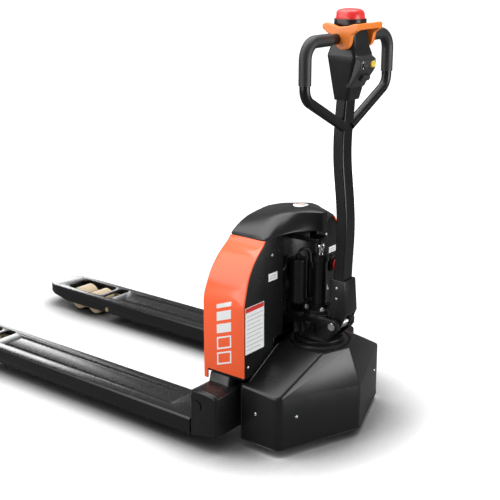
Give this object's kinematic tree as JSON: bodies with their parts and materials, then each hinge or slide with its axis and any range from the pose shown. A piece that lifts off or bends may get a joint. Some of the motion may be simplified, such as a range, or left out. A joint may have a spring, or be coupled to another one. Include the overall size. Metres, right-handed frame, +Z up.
{
  "type": "electric pallet truck",
  "caption": "Walk-behind electric pallet truck with two lifting forks, a drive unit under a faceted skirt and an upright tiller with a loop handle.",
  "frame": {"origin": "centre of the overall bounding box at floor level", "axes": "+Z up, forks pointing to -X, operator's tiller at +X"},
  "size_m": [1.535, 0.69, 1.1755],
  "materials": {
    "black_steel": "satin powder coat",
    "black_plastic": "fine grained",
    "grey_plastic": "fine grained",
    "orange_panel": "gloss paint",
    "orange_plastic": "moulded",
    "red_plastic": "moulded",
    "yellow_plastic": "moulded",
    "zinc": "zinc plated",
    "chrome": "ground and plated",
    "bare_steel": "machined",
    "castings": "painted casting",
    "bronze": "turned",
    "roller_pu": "cast polyurethane",
    "wheel_pu": "cast polyurethane",
    "rubber": "smooth",
    "olive_steel": "yellow passivated"
  },
  "bodies": {
    "base": {"base_plate": "black_steel", "slewing_ring": "bare_steel", "skirt": "black_plastic", "skirt_screws": "zinc", "guide_posts": "bare_steel"},
    "steer": {"neck": "black_steel", "drive_yoke": "castings", "drive_gearbox": "castings", "drive_motor": "castings", "drive_brake": "castings", "cylinder_barrel": "black_steel", "cylinder_bolts": "zinc", "oil_tank": "black_plastic", "pump_motor": "black_plastic", "tiller_pin": "zinc"},
    "drive_wheel": {"wheel_hub": "castings", "wheel_tyre": "wheel_pu"},
    "ram": {"ram": "chrome"},
    "tiller": {"tiller_socket": "black_steel", "tiller_tube": "black_steel", "tiller_springs": "zinc", "handle_loop": "black_steel", "grips": "rubber", "head_body": "black_plastic", "head_cover": "grey_plastic", "head_collar": "black_plastic"},
    "belly": {"belly_button": "red_plastic"},
    "throttle": {"throttle": "orange_plastic"},
    "creep": {"creep_button": "yellow_plastic"},
    "horn": {"horn_button": "rubber"},
    "lift_switch": {"lift_rocker": "grey_plastic"},
    "chassis": {"fork_left": "black_steel", "fork_right": "black_steel", "heel_left": "black_steel", "heel_right": "black_steel", "cross_plate": "black_steel", "guide_bushes": "bronze", "battery_tray": "black_steel", "housing": "black_steel", "strip_left": "orange_panel", "strip_right": "orange_panel", "cap": "black_plastic", "battery": "black_plastic", "controller": "black_plastic", "lift_bracket": "black_steel", "power_cable": "rubber", "estop_base": "black_plastic", "housing_screws": "zinc"},
    "estop": {"estop_button": "red_plastic"},
    "rocker": {"rocker_shaft": "black_steel"},
    "arm_left": {"arm_left": "olive_steel"},
    "bogie_left": {"bogie_left": "bare_steel"},
    "push_rod_left": {"push_rod_left": "olive_steel"},
    "roller_left_front": {"roller_left_front": "roller_pu"},
    "roller_left_rear": {"roller_left_rear": "roller_pu"},
    "arm_right": {"arm_right": "olive_steel"},
    "bogie_right": {"bogie_right": "bare_steel"},
    "push_rod_right": {"push_rod_right": "olive_steel"},
    "roller_right_front": {"roller_right_front": "roller_pu"},
    "roller_right_rear": {"roller_right_rear": "roller_pu"}
  },
  "joints": [
    {"name": "lift", "type": "slide", "parent": "base", "child": "chassis", "axis": [0, 0, 1], "range_m": [0, 0.115]},
    {"name": "steering", "type": "hinge", "parent": "base", "child": "steer", "pos_m": [0.6265, 0, 0.25], "axis": [0, 0, 1], "range_deg": [-85, 85]},
    {"name": "drive_spin", "type": "hinge", "parent": "steer", "child": "drive_wheel", "pos_m": [0.6265, 0, 0.105], "axis": [0, 1, 0], "continuous": true},
    {"name": "ram_slide", "type": "slide", "parent": "steer", "child": "ram", "axis": [0, 0, 1], "range_m": [0, 0.11502]},
    {"name": "tiller_tilt", "type": "hinge", "parent": "steer", "child": "tiller", "pos_m": [0.6985, 0, 0.325], "axis": [0, 1, 0], "range_deg": [0, 78], "stiffness_Nm_per_rad": 60, "springref_deg": -20.05},
    {"name": "belly_press", "type": "slide", "parent": "tiller", "child": "belly", "axis": [0, 0, -1], "range_m": [0, 0.008], "stiffness_N_per_m": 600, "springref_m": -0.004},
    {"name": "throttle_turn", "type": "hinge", "parent": "tiller", "child": "throttle", "pos_m": [0.7005, 0, 1.103], "axis": [0, 1, 0], "range_deg": [-15, 15], "stiffness_Nm_per_rad": 1.5},
    {"name": "creep_press", "type": "slide", "parent": "tiller", "child": "creep", "axis": [-1, 0, 0], "range_m": [0, 0.003], "stiffness_N_per_m": 300, "springref_m": -0.002},
    {"name": "horn_press", "type": "slide", "parent": "tiller", "child": "horn", "axis": [-1, 0, 0], "range_m": [0, 0.003], "stiffness_N_per_m": 300, "springref_m": -0.002},
    {"name": "lift_switch_tilt", "type": "hinge", "parent": "tiller", "child": "lift_switch", "pos_m": [0.7495, 0, 1.005], "axis": [0, 1, 0], "range_deg": [-12, 12], "stiffness_Nm_per_rad": 0.1},
    {"name": "estop_press", "type": "slide", "parent": "chassis", "child": "estop", "axis": [-1, 0, 0], "range_m": [0, 0.005]},
    {"name": "rocker_turn", "type": "hinge", "parent": "chassis", "child": "rocker", "pos_m": [0.4635, 0, 0.13], "axis": [0, 1, 0], "range_deg": [0, 33.01]},
    {"name": "arm_turn_left", "type": "hinge", "parent": "chassis", "child": "arm_left", "pos_m": [-0.4335, -0.2675, 0.05], "axis": [0, -1, 0], "range_deg": [0, 52.45]},
    {"name": "bogie_turn_left", "type": "hinge", "parent": "arm_left", "child": "bogie_left", "pos_m": [-0.5835, -0.2675, 0.04], "axis": [0, 1, 0], "range_deg": [0, 52.45]},
    {"name": "rod_slide_left", "type": "slide", "parent": "chassis", "child": "push_rod_left", "axis": [-1, 0, 0], "range_m": [0, 0.01591]},
    {"name": "roller_spin_left_front", "type": "hinge", "parent": "bogie_left", "child": "roller_left_front", "pos_m": [-0.6265, -0.2675, 0.04], "axis": [0, 1, 0], "continuous": true},
    {"name": "roller_spin_left_rear", "type": "hinge", "parent": "bogie_left", "child": "roller_left_rear", "pos_m": [-0.5405, -0.2675, 0.04], "axis": [0, 1, 0], "continuous": true},
    {"name": "arm_turn_right", "type": "hinge", "parent": "chassis", "child": "arm_right", "pos_m": [-0.4335, 0.2675, 0.05], "axis": [0, -1, 0], "range_deg": [0, 52.45]},
    {"name": "bogie_turn_right", "type": "hinge", "parent": "arm_right", "child": "bogie_right", "pos_m": [-0.5835, 0.2675, 0.04], "axis": [0, 1, 0], "range_deg": [0, 52.45]},
    {"name": "rod_slide_right", "type": "slide", "parent": "chassis", "child": "push_rod_right", "axis": [-1, 0, 0], "range_m": [0, 0.01591]},
    {"name": "roller_spin_right_front", "type": "hinge", "parent": "bogie_right", "child": "roller_right_front", "pos_m": [-0.6265, 0.2675, 0.04], "axis": [0, 1, 0], "continuous": true},
    {"name": "roller_spin_right_rear", "type": "hinge", "parent": "bogie_right", "child": "roller_right_rear", "pos_m": [-0.5405, 0.2675, 0.04], "axis": [0, 1, 0], "continuous": true}
  ],
  "couplings": [
    {"joint": "ram_slide", "follows": "lift", "ratio": 1},
    {"joint": "rocker_turn", "follows": "lift", "rad_per_m": 5.0083},
    {"joint": "arm_turn_left", "follows": "lift", "rad_per_m": 7.9584},
    {"joint": "bogie_turn_left", "follows": "lift", "rad_per_m": 7.9584},
    {"joint": "rod_slide_left", "follows": "lift", "ratio": 0.1383},
    {"joint": "arm_turn_right", "follows": "lift", "rad_per_m": 7.9584},
    {"joint": "bogie_turn_right", "follows": "lift", "rad_per_m": 7.9584},
    {"joint": "rod_slide_right", "follows": "lift", "ratio": 0.1383}
  ]
}
